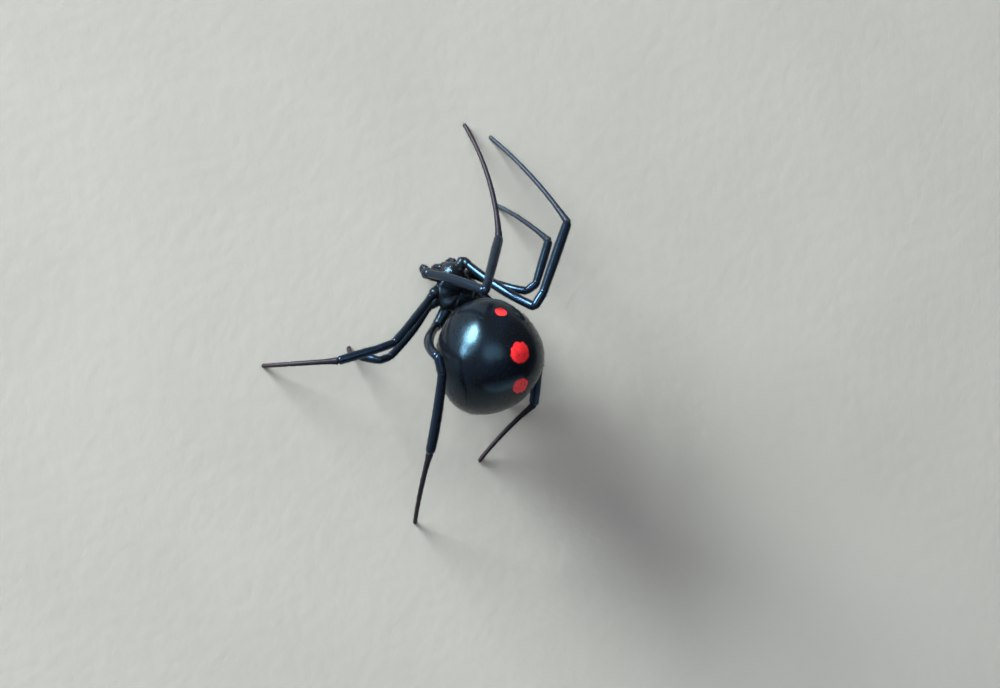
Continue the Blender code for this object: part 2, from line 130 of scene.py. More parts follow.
# Hairs: their number, length and half thickness at the root in mm, and degrees off the skin.
# The number on a leg segment is for LEG_HAIR_SPACE mm of it, and LEG_HAIR_LEAST more.
HAIRS = {
    "abdomen": dict(count=4200, length=0.24, width=0.008, lean=30),
    "spinneret": dict(count=60, length=0.16, width=0.007, along=(0.45, 0.95)),
    "shield": dict(count=700, length=0.16, width=0.007, lean=34),
    "root": dict(count=70, length=0.18, width=0.008, along=(0.3, 0.9)),
    "jaw": dict(count=130, length=0.17, width=0.007),
    "palp": dict(count=110, length=0.20, width=0.008),
}
LEG_HAIRS = {"femur": (420, 0.19), "patella": (260, 0.19), "tibia": (420, 0.19),
             "metatarsus": (480, 0.16), "tarsus": (520, 0.16)}
LEG_HAIR_WIDTH, LEG_HAIR_LEAN, LEG_HAIR_SPACE, LEG_HAIR_LEAST = 0.007, 28, 6, 30
HAIR_SINK = 0.012               # how deep a hair's root sits in the skin
HAIR_PATCH = 0.0012             # half width of a hair's place on the baked map
HAIR_SEED = 8


# ---------------------------------------------------------------- points and meshes

def to_world(points):
    """Body places in mm to the model's own frame in metres."""
    return (np.asarray(points, float) - FOOTPRINT_MIDDLE) * MM


def unit(v):
    """Vectors of length 1, along the last axis."""
    return v / np.linalg.norm(v, axis=-1, keepdims=True)


def ease(x, low, high):
    """0 below low, 1 above high, and 3x^2 - 2x^3 of the share between."""
    x = np.clip((x - low) / (high - low), 0.0, 1.0)
    return x * x * (3 - 2 * x)


def hump(x, middle, reach):
    """A smooth hump of height 1: e to the minus ((x - middle) / reach) squared."""
    return np.exp(-((x - middle) / reach) ** 2)


def skin(place, rows, columns, **marks):
    """Points, faces and marks of a closed skin. Rings lie at a = (1 - cos w) / 2 for even
    steps of w, so that they crowd towards the two poles, which are one point each."""
    along = (1 - np.cos(np.linspace(0.0, math.pi, rows + 2))) / 2
    a, b = np.meshgrid(along[1:-1], np.arange(columns) * FULL_TURN / columns, indexing="ij")
    ends = place(np.array((0.0, 1.0)), np.zeros(2))
    points = np.concatenate((place(a, b).reshape(-1, 3), ends))
    here = np.arange(columns)
    after = (here + 1) % columns
    start = np.arange(rows - 1)[:, None] * columns
    quads = np.stack((start + here, start + after, start + after + columns,
                      start + here + columns), -1).reshape(-1, 4)
    first, last, end = rows * columns, rows * columns + 1, (rows - 1) * columns
    tips = np.concatenate((np.stack((np.full(columns, first), after, here), -1),
                           np.stack((np.full(columns, last), end + here, end + after), -1)))
    every_a = np.concatenate((a.ravel(), (0.0, 1.0)))
    return points, quads, tips, {name: mark(every_a) for name, mark in marks.items()}


def joined(skins):
    """Several skins as one: their points in a row, each one's faces moved on by the points
    before it."""
    starts = np.cumsum([0] + [len(points) for points, *_ in skins])
    return (np.concatenate([points for points, *_ in skins]),
            np.concatenate([quads + k for (_, quads, _, _), k in zip(skins, starts)]),
            np.concatenate([tips + k for (_, _, tips, _), k in zip(skins, starts)]),
            {name: np.concatenate([marks[name] for *_, marks in skins]) for name in skins[0][3]})


def put(name, points, quads, triangles, marks, finish, slot, nodes=(), patches=None):
    """An object from arrays that rides on the spider, in metres and smooth shaded, with
    nothing of it under the floor. Each mark becomes an attribute; patches are each point's
    place on the map that is baked."""
    points = np.maximum(points, (-np.inf, -np.inf, 0.0))
    mesh = bpy.data.meshes.new(name)
    corners = np.concatenate((quads.ravel(), triangles.ravel())).astype(np.int32)
    sizes = np.concatenate((np.full(len(quads), 4), np.full(len(triangles), 3)))
    mesh.vertices.add(len(points))
    mesh.vertices.foreach_set("co", to_world(points).ravel().astype(np.float32))
    mesh.loops.add(len(corners))
    mesh.loops.foreach_set("vertex_index", corners)
    mesh.polygons.add(len(sizes))
    mesh.polygons.foreach_set("loop_start", (np.cumsum(sizes) - sizes).astype(np.int32))
    mesh.update(calc_edges=True)
    for mark, values in marks.items():
        layer = mesh.attributes.new(mark, "FLOAT", "POINT")
        layer.data.foreach_set("value", np.asarray(values, np.float32))
    if patches is not None:
        layer = mesh.uv_layers.new(name="OFBake")
        layer.data.foreach_set("uv", patches[corners].ravel().astype(np.float32))
    mesh.validate()
    mesh.shade_smooth()
    mesh.materials.append(finish)
    thing = bpy.data.objects.new(name, mesh)
    bpy.context.scene.collection.objects.link(thing)
    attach(thing, "root")
    if nodes:
        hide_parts(*nodes)


# ---------------------------------------------------------------- abdomen

def abdomen_frame():
    """The abdomen's forward, left and back-up directions."""
    turn, dip, lean = ABDOMEN_TURN, ABDOMEN_DIP, ABDOMEN_LEAN
    forward = np.array((math.sin(turn) * math.cos(dip), -math.cos(turn) * math.cos(dip), -math.sin(dip)))
    up = np.array((-math.sin(lean), 0.0, math.cos(lean)))
    up = unit(up - forward * np.dot(up, forward))
    return forward, np.cross(up, forward), up


FORWARD, LEFT, UP = abdomen_frame()


def globe(a, b):
    """The abdomen without its relief. With s from -1 at the front to 1 at the rear, its half
    width and height are the root of 1 - s^2, times 1 + fullness * s; its middle line drops
    by droop * s^2, and the belly is a little flatter than the back."""
    s, turn = 2 * a - 1, -b
    girth = np.sqrt(np.clip(1 - s * s, 0, 1)) * (1 + ABDOMEN_FULL_REAR * s)
    half_wide = (ABDOMEN_WIDE / 2 - COAT_DEPTH) * girth
    high = (ABDOMEN_HIGH / 2 - COAT_DEPTH) * girth * np.where(np.sin(turn) > 0, 1.0, BELLY_SHARE)
    droop = np.where(s > 0, ABDOMEN_REAR_DROOP, ABDOMEN_FRONT_DROOP) * s * s
    ahead, lift = -s * (ABDOMEN_LONG / 2 - COAT_DEPTH), high * np.sin(turn) - droop
    return (ABDOMEN_MIDDLE + ahead[..., None] * FORWARD + (half_wide * np.cos(turn))[..., None] * LEFT
            + lift[..., None] * UP)


# Dents over the muscles of the back: share of length, degrees off the middle, depth, reach.
DENTS = ((0.33, 24, 0.010, 0.20), (0.52, 27, 0.012, 0.22),
         (0.68, 25, 0.010, 0.18), (0.80, 21, 0.008, 0.15))


def abdomen_skin(a, b):
    """The globe, moved outwards or inwards by its relief: low waves over the whole, a pair of
    dents for each row of DENTS, the furrow across the belly with the smooth lids of the book
    lungs before it, and fine folds round the spinnerets."""
    points = globe(a, b)
    out = unit(points - ABDOMEN_MIDDLE)
    s = 2 * a - 1
    side, back = out @ LEFT, out @ UP
    relief = 0.011 * (np.sin(7.3 * side + 4.1 * s + 0.7) + np.sin(6.1 * s - 5.2 * back + 2.0)
                      + 0.6 * np.sin(11.0 * side - 8.0 * back + 1.0))
    for place, degrees, depth, reach in DENTS:
        for hand in (-1, 1):
            pit = globe(np.array(place), np.array(-math.radians(94 + hand * degrees)))
            away = np.linalg.norm(points - pit, axis=-1)
            relief = relief - depth * np.exp(-(away / reach) ** 2)
    belly = ease(-back, 0.55, 0.8)
    furrow = -0.42 + 0.16 * side ** 2
    relief = relief - 0.075 * hump(s, furrow, 0.022) * belly
    for hand in (-1, 1):
        lid = np.hypot((s + 0.60) / 0.15, (side - 0.30 * hand) / 0.22)
        relief = relief + 0.045 * (1 - ease(lid, 0.75, 1.05)) * belly
    relief = relief + 0.06 * hump(s, furrow - 0.035, 0.045) * hump(side, 0, 0.10) * belly
    rings = np.linalg.norm(points - SPINNERET_SEAT, axis=-1)
    relief = relief + 0.016 * np.sin(rings * 16.0) * hump(rings, 1.0, 0.5)
    return points + out * relief[..., None]


SPINNERET_SEAT = globe(np.array(0.88), np.array(math.pi / 2))
SPINNERET_OUT = unit(-FORWARD * 0.42 - UP * 0.91)
# Cones of the spinnerets: sideways, backwards, length, half thickness.
SPINNERETS = ((0.25, -0.20, 0.80, 0.21), (0.13, 0.05, 0.55, 0.14), (0.27, 0.25, 0.72, 0.19))


# ---------------------------------------------------------------- round segments

def swell(t, marks):
    """Half thickness along a limb, eased from each (place, size) mark to the next."""
    places, sizes = zip(*marks)
    k = np.clip(np.searchsorted(places, t, side="right") - 1, 0, len(places) - 2)
    share = ease(t, np.take(places, k), np.take(places, k + 1))
    return np.take(sizes, k) * (1 - share) + np.take(sizes, k + 1) * share


class Limb:
    """A closed round segment on a bowed line. The line is the straight one from start to end
    plus 4u(1 - u) times the bow, of which the limb fills the span. Its half thickness eases
    from mark to mark, and rounds off over the given lengths at its two ends."""

    def __init__(self, start, end, marks, caps, bow=STRAIGHT, span=(0.0, 1.0), brown=(0.0, 0.0)):
        self.start, self.end, self.bow = (np.asarray(p, float) for p in (start, end, bow))
        self.marks, self.span, self.brown = marks, span, brown
        self.length = np.linalg.norm(self.end - self.start) * (span[1] - span[0])
        self.caps = caps
        self.hint = np.eye(3)[np.argmin(np.abs(self.end - self.start))]

    def share(self, a):
        """How far along the whole line a lies, with an axis for its three coordinates."""
        return (self.span[0] + (self.span[1] - self.span[0]) * np.asarray(a, float))[..., None]

    def line(self, a):
        """The middle line: start + (end - start)u + 4u(1 - u) bow."""
        u = self.share(a)
        return self.start + (self.end - self.start) * u + 4 * u * (1 - u) * self.bow

    def onward(self, a):
        """The middle line's direction, from the slope of line()."""
        u = self.share(a)
        return unit(self.end - self.start + 4 * (1 - 2 * u) * self.bow)

    def radius(self, a):
        """The marks' half thickness, times the root of x(2 - x) over each rounded end, where
        x grows from 0 at the end to 1 at the cap's length."""
        first = np.clip(a * self.length / self.caps[0], 0, 1)
        last = np.clip((1 - a) * self.length / self.caps[1], 0, 1)
        return swell(a, self.marks) * np.sqrt(first * (2 - first) * last * (2 - last))

    def place(self, a, b):
        """A ring square to the line at each a: the line plus the half thickness times
        cos b sideways and sin b across that."""
        onward = self.onward(a)
        side = unit(np.cross(onward, self.hint))
        ring = np.cos(b)[..., None] * side + np.sin(b)[..., None] * np.cross(onward, side)
        return self.line(a) + self.radius(a)[..., None] * ring

    def tone(self, a):
        """How brown the limb is: its own two values, and more towards both joints."""
        joints = hump(a * self.length, 0, JOINT_REACH) + hump((1 - a) * self.length, 0, JOINT_REACH)
        return self.brown[0] + (self.brown[1] - self.brown[0]) * a + JOINT_BROWN * joints

    def skin(self, rows, columns):
        """The limb's closed skin, which carries how brown it is."""
        return skin(self.place, rows, columns, brown=self.tone)


def leg_limbs(leg):
    """The segments of one leg, from the body outwards, each rooted inside the one before."""
    root, knee, shin, ankle = (np.array(leg[key]) for key in ("root", "knee", "shin", "ankle"))
    tip = np.array((*leg["tip"], 0.0))
    heading = unit(knee - root + 4.0 * np.array(leg["femur_bow"]))
    elbow = root - heading * TROCHANTER_LENGTH
    row = COXA_FIRST_ROW + COXA_SPACING * (leg["pair"] - 1)
    hip = np.array((COXA_START * np.sign(root[0]), row, CARAPACE_EDGE - 0.18))
    thick = FEMUR_RADIUS[leg["pair"]] - COAT_DEPTH
    stout = COXA_RADIUS - COAT_DEPTH
    shank, ball = unit(shin - knee), unit(ankle - shin)

    def scaled(size, *marks):
        """Marks given as shares of a size."""
        return tuple((place, share * size) for place, share in marks)

    return {
        "coxa": Limb(hip, elbow + unit(elbow - hip) * 0.24,
                     scaled(stout, (0, 1.0), (0.35, 1.0), (0.75, 0.90), (1, 0.84)), (0.3, 0.30)),
        "trochanter": Limb(elbow - heading * 0.24, root + heading * 0.14,
                           scaled(thick, (0, 0.88), (0.5, 0.98), (1, 0.92)), (0.30, 0.26)),
        "femur": Limb(root - heading * 0.20, knee + unit(knee - root) * thick * 0.45,
                      scaled(thick, (0, 0.84), (0.10, 0.88), (0.38, 1.0), (0.84, 0.93), (1, 0.93)),
                      (0.24, 0.40), bow=leg["femur_bow"]),
        "patella": Limb(knee - shank * 0.20, shin + shank * 0.22,
                        scaled(thick, (0, 0.92), (0.45, 0.96), (1, 0.93)), (0.36, 0.32)),
        "tibia": Limb(shin - ball * 0.22, ankle + ball * 0.08,
                      scaled(thick, (0, 0.88), (0.10, 0.92), (0.40, 1.02), (0.72, 1.05),
                             (0.92, 1.0), (1, 0.88)),
                      (0.30, 0.26), bow=leg["tibia_bow"]),
        "metatarsus": Limb(ankle, tip,
                           scaled(METATARSUS_RADIUS, (0, 1.45), (0.04, 1.46), (0.17, 1.17),
                                  (0.36, 1.0), (0.92, 0.93), (1, 0.88)),
                           (0.22, 0.14), bow=leg["foot_bow"], span=(-0.02, METATARSUS_SHARE),
                           brown=(0.35, 0.60)),
        "tarsus": Limb(ankle, tip, scaled(TARSUS_RADIUS, (0, 0.98), (0.5, 0.95), (1, 0.86)),
                       (0.14, 0.09), bow=leg["foot_bow"], span=(METATARSUS_SHARE - 0.02, 1.0),
                       brown=(0.6, 0.9)),
    }


LIMBS = {name: leg_limbs(leg) for name, leg in LEGS.items()}


def claws(tarsus):
    """Three claws at a foot's end: two side by side above and a short one between below.
    Each leaves the tarsus along its line and curls down to the floor."""
    end, onward = tarsus.line(0.98), tarsus.onward(1.0)
    level = unit(np.array((onward[0], onward[1], 0.0)))
    side = np.array((-level[1], level[0], 0.0))
    skins = []
    for across, reach in ((-1, 1.0), (1, 1.0), (0, 0.6)):
        root = end + side * across * 0.045 + np.array((0, 0, 0.03 + 0.02 * abs(across)))
        tip = root + (level * reach + side * across * 0.22) * CLAW_LENGTH
        tip[2] = CLAW_RADIUS * 0.3
        bow = np.array((0, 0, 0.045)) + level * 0.02
        claw = Limb(root, tip, ((0, CLAW_RADIUS), (0.5, CLAW_RADIUS * 0.75), (1, CLAW_RADIUS * 0.25)),
                    (0.03, 0.02), bow=bow)
        skins.append(claw.skin(*MESH["claw"]))
    return joined(skins)


# ---------------------------------------------------------------- head and thorax

def shield(a, b):
    """Carapace and sternum without grooves. Its half width eases from the head's to the
    thorax's along a logistic curve and closes at both ends as the root of 1 - (2a - 1)^4;
    above the edge it rises to the head's or the thorax's height, less a dip round the pit,
    and below it is shallow."""
    ends = np.sqrt(np.clip(1 - (2 * a - 1) ** 4, 0, 1))
    blend = 1 / (1 + np.exp(-(a - 0.33) * 12))
    half_wide = ((HEAD_WIDE * (1 - blend) + CARAPACE_WIDE * blend) / 2 - COAT_DEPTH) * ends
    rise = HEAD_RISE * (1 - blend) + THORAX_RISE * blend - 0.14 * hump(a, FOVEA, 0.09)
    turn = -b
    depth = np.where(np.sin(turn) > 0, rise, STERNUM_DEPTH) - COAT_DEPTH
    lift = np.sin(turn) * depth * ends
    y = CARAPACE_FRONT + COAT_DEPTH + (CARAPACE_REAR - CARAPACE_FRONT - 2 * COAT_DEPTH) * a
    return np.stack((half_wide * np.cos(turn), y, CARAPACE_EDGE + lift), -1)


def eye_spots():
    """Middles of the eight eyes, each sunk a third of its radius in the head."""
    share, degrees = np.array(EYE_PLACES).T
    left = shield(share, -np.radians(degrees))
    inward = unit(np.array((0.0, CARAPACE_FRONT + 0.9, CARAPACE_EDGE + 0.3)) - left)
    left = left + inward * EYE_RADIUS * 0.33
    return np.concatenate((left, left * (-1, 1, 1)))


def cephalothorax_skin(a, b):
    """The shield with its relief: a pit in the middle of the thorax, the slanting grooves
    that mark off the head, shallow furrows that fan out from the pit, a raised rim along the
    edge, a low ring round each eye, and a margin round the sternum."""
    points = shield(a, b)
    side = np.abs(points[..., 0])
    above = ease(np.sin(-b), 0.0, 0.25)
    lift = -0.13 * hump(a, FOVEA, 0.035) * hump(side, 0, 0.11)
    groove = 0.60 - 0.30 * side / 1.1
    lift = lift - 0.075 * hump(a, groove, 0.030) * ease(side, 0.08, 0.4)
    along = (a - FOVEA) * (CARAPACE_REAR - CARAPACE_FRONT)
    fan, reach = np.arctan2(side, along + TINY), np.hypot(side, along)
    furrowed = ease(reach, 0.25, 0.55) * ease(fan, 0.2, 0.5) * (1 - ease(fan, 2.1, 2.5))
    lift = (lift - 0.030 * np.cos(fan * 9.0) * furrowed) * above
    lift = lift + 0.035 * hump(np.sin(-b), 0.07, 0.07) * ease(a, 0.2, 0.4)
    margin = ease(a, 0.15, 0.35) * (1 - ease(a, 0.85, 0.95))
    lift = lift - 0.05 * hump(np.sin(-b), -0.62, 0.10) * margin
    out = unit(points * (1, 0, 1) - (0, 0, CARAPACE_EDGE - TINY))
    for eye in eye_spots():
        away = np.linalg.norm(points - eye, axis=-1)
        lift = lift + 0.04 * hump(away, EYE_RADIUS * 1.15, 0.05)
    return points + out * lift[..., None]


def no_tone(a):
    """Nowhere brown."""
    return 0 * a


def pedicel():
    """The short stalk from the thorax up into the belly side of the abdomen's front."""
    seat = globe(np.array(0.13), np.array(math.pi / 2))
    inside = seat + unit(ABDOMEN_MIDDLE - seat) * 0.5
    return Limb((0, CARAPACE_REAR - 0.5, 3.0), inside,
                ((0, 0.40), (0.35, 0.36), (0.5, 0.39), (0.65, 0.34), (1, 0.40)),
                (0.2, 0.2), bow=(0, 0.22, -0.22), brown=(0.2, 0.5))


def mouth_limbs():
    """The plates under the head: a lip in the middle and a lobe on each side of it."""
    limbs = [Limb((0, -5.95, 2.46), (0, -6.55, 2.22), ((0, 0.17), (0.6, 0.17), (1, 0.12)),
                  (0.1, 0.12), brown=(0.2, 0.5))]
    for hand in (-1, 1):
        inner = np.array((0.26 * hand, CARAPACE_FRONT + 1.20, CARAPACE_EDGE - 0.50))
        outer = inner + np.array((0.28 * hand, -0.14, -0.16))
        limbs.append(Limb(inner - (0.1 * hand, 0, 0), outer,
                          ((0, 0.18), (0.5, 0.235), (1, 0.18)), (0.16, 0.16), brown=(0.1, 0.4)))
        root = PALP_ROOT * (hand, 1, 1)
        limbs.append(Limb(outer - (0.05 * hand, 0, -0.02), root + (0.03 * hand, -0.06, -0.02),
                          ((0, 0.18), (0.5, 0.205), (1, 0.19)), (0.12, 0.12), brown=(0.1, 0.2)))
    return limbs


def jaw_limbs(hand):
    """One chelicera, upright and slightly bowed, and its fang curling inwards."""
    top = np.array((0.37 * hand, CARAPACE_FRONT + 0.24, CARAPACE_EDGE - 0.82))
    tip = top + (0.0, 0.04, -1.12)
    jaw = Limb(top + (0, 0.12, 0.42), tip,
               ((0, 0.22), (0.3, 0.25), (0.5, 0.268), (0.72, 0.245), (0.88, 0.205), (1, 0.16)), (0.2, 0.17),
               bow=(0.005 * hand, -0.09, 0), brown=(0.0, 0.25))
    fang = Limb(tip + (0, -0.03, 0.10), tip + (-0.1 * hand, 0.38, -0.29),
                ((0, 0.105), (0.3, 0.095), (0.7, 0.055), (1, 0.014)), (0.05, 0.03),
                bow=(0.025 * hand, -0.08, -0.075), brown=(0.6, 1.0))
    return jaw, fang


def palp_limbs(hand):
    """The segments of one palp: femur, patella, tibia and tarsus, and its small claw."""
    root, knee, wrist, end = (p * (hand, 1, 1) for p in (PALP_ROOT, PALP_KNEE, PALP_WRIST, PALP_END))
    shin = knee + (wrist - knee) * 0.36
    return [Limb(root, knee, ((0, 0.19), (0.5, 0.21), (1, 0.205)), (0.1, 0.20), brown=(0.0, 0.1)),
            Limb(knee + (0, 0.05, 0.10), shin + (0, 0, -0.06),
                 ((0, 0.19), (0.5, 0.21), (1, 0.20)), (0.18, 0.16), brown=(0.1, 0.1)),
            Limb(shin + (0, 0, 0.10), wrist + (0, 0, -0.07),
                 ((0, 0.19), (0.5, 0.20), (1, 0.18)), (0.16, 0.16), brown=(0.1, 0.25)),
            Limb(wrist + (0, 0, 0.12), end,
                 ((0, 0.17), (0.35, 0.18), (0.75, 0.135), (1, 0.085)), (0.16, 0.10),
                 bow=(0, -0.04, -0.02), brown=(0.3, 0.7)),
            Limb(end + (0, 0, 0.02), end + (0, 0.05, -0.13), ((0, 0.03), (1, 0.006)),
                 (0.02, 0.01), bow=(0, -0.02, 0), brown=(1, 1))]


# ---------------------------------------------------------------- hairs

def hairs(place, rng, count, length, width, lean=32.0, window=(0.0, 1.0), along=(0.03, 0.97)):
    """Points of tapered three-sided hairs, seven to a hair, and each point's place on the
    baked map. A hair's root is drawn anywhere on the skin and sunk a little in it. It sets
    off `lean` degrees above the skin, in the direction of growing a, and its outer half
    bends down to half that lean. Its map patch lies at (b / full turn, a) of its root, with
    a squeezed into the window."""
    a, b = rng.uniform(*along, count), rng.uniform(0.0, FULL_TURN, count)
    step = 0.002                # how far to each side the skin's slope is measured
    root = place(a, b)
    onward = unit(place(np.minimum(a + step, 1), b) - place(np.maximum(a - step, 0), b))
    round_way = unit(place(a, b + step) - place(a, b - step))
    outward = unit(np.cross(round_way, onward))
    lie = unit(onward + round_way * rng.normal(0, 0.22, count)[:, None])
    tilt = np.radians(lean * rng.uniform(0.7, 1.3, count))[:, None]
    first = lie * np.cos(tilt) + outward * np.sin(tilt)
    second = lie * np.cos(tilt * 0.5) + outward * np.sin(tilt * 0.5)
    reach = (length * rng.uniform(0.65, 1.25, count))[:, None]
    side = unit(np.cross(first, outward))
    other = np.cross(first, side)
    turns = np.arange(3) * FULL_TURN / 3
    ring = np.cos(turns)[:, None] * side[:, None] + np.sin(turns)[:, None] * other[:, None]
    base = root - outward * HAIR_SINK
    middle = base + first * reach * 0.5
    tip = middle + second * reach * 0.5
    points = np.concatenate((base[:, None] + ring * width, middle[:, None] + ring * width * 0.68,
                             tip[:, None]), axis=1)
    patch = HAIR_PATCH * np.array(((-1, -1), (0, -1), (1, -1), (-1, 0), (0, 0), (1, 0), (0, 1)))
    inset = np.stack((b / FULL_TURN, a), -1) * 0.99 + 0.005
    home = (0.0, window[0]) + inset * (1.0, window[1] - window[0])
    return points.reshape(-1, 3), (home[:, None] + patch).reshape(-1, 2)


def coat(name, tufts, slot, finish):
    """All the hairs of one piece as one mesh: per hair a root cap, three side quads and
    three triangles to the tip."""
    points = np.concatenate([p for p, _ in tufts])
    patches = np.concatenate([uv for _, uv in tufts])
    start = np.arange(0, len(points), 7)[:, None, None]
    sides = np.array(((0, 1, 4, 3), (1, 2, 5, 4), (2, 0, 3, 5)))
    ends = np.array(((2, 1, 0), (3, 4, 6), (4, 5, 6), (5, 3, 6)))
    put(name, points, (start + sides).reshape(-1, 4), (start + ends).reshape(-1, 3), {}, finish, slot,
        patches=patches)


# ---------------------------------------------------------------- finishes

class Wire:
    """One output of a material's nodes. Sums, products and the like add Math nodes, and
    node() adds any other."""

    def __init__(self, tree, socket=None):
        self.tree, self.socket = tree, socket

    def node(self, kind, settings=None, inputs=None, output=0):
        """Adds a node: first its settings, then the values or links of its sockets."""
        new = self.tree.nodes.new(kind)
        for key, value in (settings or {}).items():
            setattr(new, key, value)
        for key, value in (inputs or {}).items():
            if isinstance(value, Wire):
                self.tree.links.new(value.socket, new.inputs[key])
            else:
                new.inputs[key].default_value = value
        return Wire(self.tree, new.outputs[output])

    def math(self, operation, first, second=0.0):
        """One operation on two numbers, of which some use only the first."""
        return self.node("ShaderNodeMath", {"operation": operation}, {0: first, 1: second})

    def __add__(self, other):
        return self.math("ADD", self, other)

    def __sub__(self, other):
        return self.math("SUBTRACT", self, other)

    def __rsub__(self, other):
        return self.math("SUBTRACT", other, self)

    def __mul__(self, other):
        return self.math("MULTIPLY", self, other)

    def __truediv__(self, other):
        return self.math("DIVIDE", self, other)

    def __abs__(self):
        return self.math("ABSOLUTE", self)

    __radd__, __rmul__ = __add__, __mul__

    def root(self):
        """The square root."""
        return self.math("SQRT", self)

    def larger(self, other):
        """The larger of the two."""
        return self.math("MAXIMUM", self, other)

    def eased(self, low, high, start=0.0, end=1.0):
        """start below low, end above high, smooth between."""
        return self.node("ShaderNodeMapRange", {"interpolation_type": "SMOOTHSTEP"},
                         {"Value": self, "From Min": low, "From Max": high, "To Min": start, "To Max": end})

    def vector(self, operation, other, output=0):
        """One operation on this vector and another."""
        return self.node("ShaderNodeVectorMath", {"operation": operation}, {0: self, 1: other}, output)

    def along(self, direction):
        """The vector's share along a fixed direction."""
        return self.vector("DOT_PRODUCT", tuple(direction), output=1)

    def noise(self, scale, detail=3.0, roughness=0.55):
        """Cloudy noise from 0 to 1 at a place, its grains 1 / scale metres apart."""
        return self.node("ShaderNodeTexNoise", {}, {"Vector": self, "Scale": scale, "Detail": detail,
                                                    "Roughness": roughness})

    def cells(self, scale):
        """Distance to the nearest of scattered points, 1 / scale metres apart."""
        return self.node("ShaderNodeTexVoronoi", {"feature": "F1"}, {"Vector": self, "Scale": scale})

    def mark(self, name):
        """A number that the mesh carries at each of its points."""
        return self.node("ShaderNodeAttribute", {"attribute_name": name}, output=2)

    def colours(self, first, second):
        """first where this is 0, second where it is 1."""
        return self.node("ShaderNodeMix", {"data_type": "RGBA"}, {0: self, 6: first, 7: second}, output=2)


def shell(name, constants):
    """A new finish with these constant values on its shader: (material, shader, the place on
    the object in metres)."""
    material = bpy.data.materials.new(name)
    material.use_nodes = True
    tree = material.node_tree
    shader = tree.nodes["Principled BSDF"]
    for key, value in constants.items():
        shader.inputs[key].default_value = value
    return material, shader, Wire(tree).node("ShaderNodeTexCoord", output=3)


def wear(shader, colour, roughness, height=None, depth=0.0):
    """Links what varies: colour, roughness, and as bump a height times depth in metres."""
    tree = shader.id_data
    tree.links.new(colour.socket, shader.inputs["Base Color"])
    tree.links.new(roughness.socket, shader.inputs["Roughness"])
    if height is not None:
        bump = height.node("ShaderNodeBump", {}, {"Strength": 1.0, "Distance": depth, "Height": height})
        tree.links.new(bump.socket, shader.inputs["Normal"])


BLACK = (0.0024, 0.0029, 0.0042, 1)
BLUE_BLACK = (0.0027, 0.0042, 0.0080, 1)
LEG_BLUE = (0.0032, 0.0053, 0.0092, 1)
BROWN_BLACK = (0.0100, 0.0075, 0.0090, 1)
FOOT_BROWN = (0.0190, 0.0135, 0.0165, 1)
# Painted reflection: a blue laid on as colour, standing for a cool sheen on the feet of the first two right
# legs.
FOOT_PAINTED_SHEEN = (0.0185, 0.0255, 0.0360, 1)
RED = (0.80, 0.028, 0.032, 1)
DEEP_RED = (0.68, 0.018, 0.024, 1)
SHELL_GREY = (0.0042, 0.0057, 0.0083, 1)
# Tints of what a shell mirrors face on: the abdomen, the carapace, the legs and the feet.
CYAN_SHEEN = (0.32, 0.70, 1.0, 1)
BLUE_SHEEN = (0.34, 0.66, 1.0, 1)
DEEP_SHEEN = (0.22, 0.52, 1.0, 1)
BROWN_SHEEN = (0.62, 0.62, 0.88, 1)
HAIR_BLACK, HAIR_BROWN = (0.003, 0.003, 0.004, 1), (0.010, 0.007, 0.007, 1)
EYE_BLACK, EYE_AMBER = (0.004, 0.003, 0.004, 1), (0.014, 0.006, 0.003, 1)
HORN_BLACK, HORN_RED = (0.010, 0.005, 0.004, 1), (0.024, 0.007, 0.005, 1)
FLOOR_DARK, FLOOR_PALE = (0.36, 0.35, 0.335, 1), (0.38, 0.37, 0.355, 1)
GRAIN = 9000.0                  # grains of the shell's fine texture to the metre
# The first two right legs get feet painted blue as a painted reflection, instead of brown.
PAINTED_SHEEN_FEET = ("right_1", "right_2")      # legs whose feet turn blue and not brown


def spot_mask(place, spot, rough):
    """1 inside a red spot, 0 outside: the distance from its middle, measured along and
    across the back in shares of its half length and half width, with an uneven edge."""
    s, degrees, half_length, half_width, turn = spot
    a, b, step = (s + 1) / 2, -math.radians(degrees), 0.004
    at = [globe(np.array(a + i * step), np.array(b + j * step)) for i, j in ((0, 0), (1, 0), (0, 1))]
    along, across = unit(at[1] - at[0]), unit(at[2] - at[0])
    cos, sin = math.cos(math.radians(turn)), math.sin(math.radians(turn))
    along, across = along * cos + across * sin, across * cos - along * sin
    away = place.vector("SUBTRACT", tuple(to_world(at[0])))
    u = away.along(along) / (half_length * MM)
    v = away.along(across) / (half_width * MM)
    distance = (u * u + v * v).root()
    near = away.along(np.cross(across, along)).eased(*SPOT_REACH)
    return (distance + rough).eased(*SPOT_EDGE, 1.0, 0.0) * near


def hourglass_mask(place, rough):
    """1 inside the hourglass on the belly: two triangles that meet at a narrow waist, where
    the distance from the middle line is under waist + share of the way out along it."""
    seat = globe(np.array((HOURGLASS["place"] + 1) / 2), np.array(math.pi / 2))
    away = place.vector("SUBTRACT", tuple(to_world(seat)))
    along = abs(away.along(FORWARD)) / (HOURGLASS["half_length"] * MM)
    across = abs(away.along(LEFT)) / (HOURGLASS["half_width"] * MM)
    edge = across - along * (1 - HOURGLASS["waist"]) - HOURGLASS["waist"]
    inside = (edge + rough * 0.7).eased(-0.05, 0.07, 1.0, 0.0)
    ends = (along + rough * 0.6).eased(0.93, 1.05, 1.0, 0.0)
    return inside * ends * away.along(UP).eased(*HOURGLASS_REACH, 1.0, 0.0)


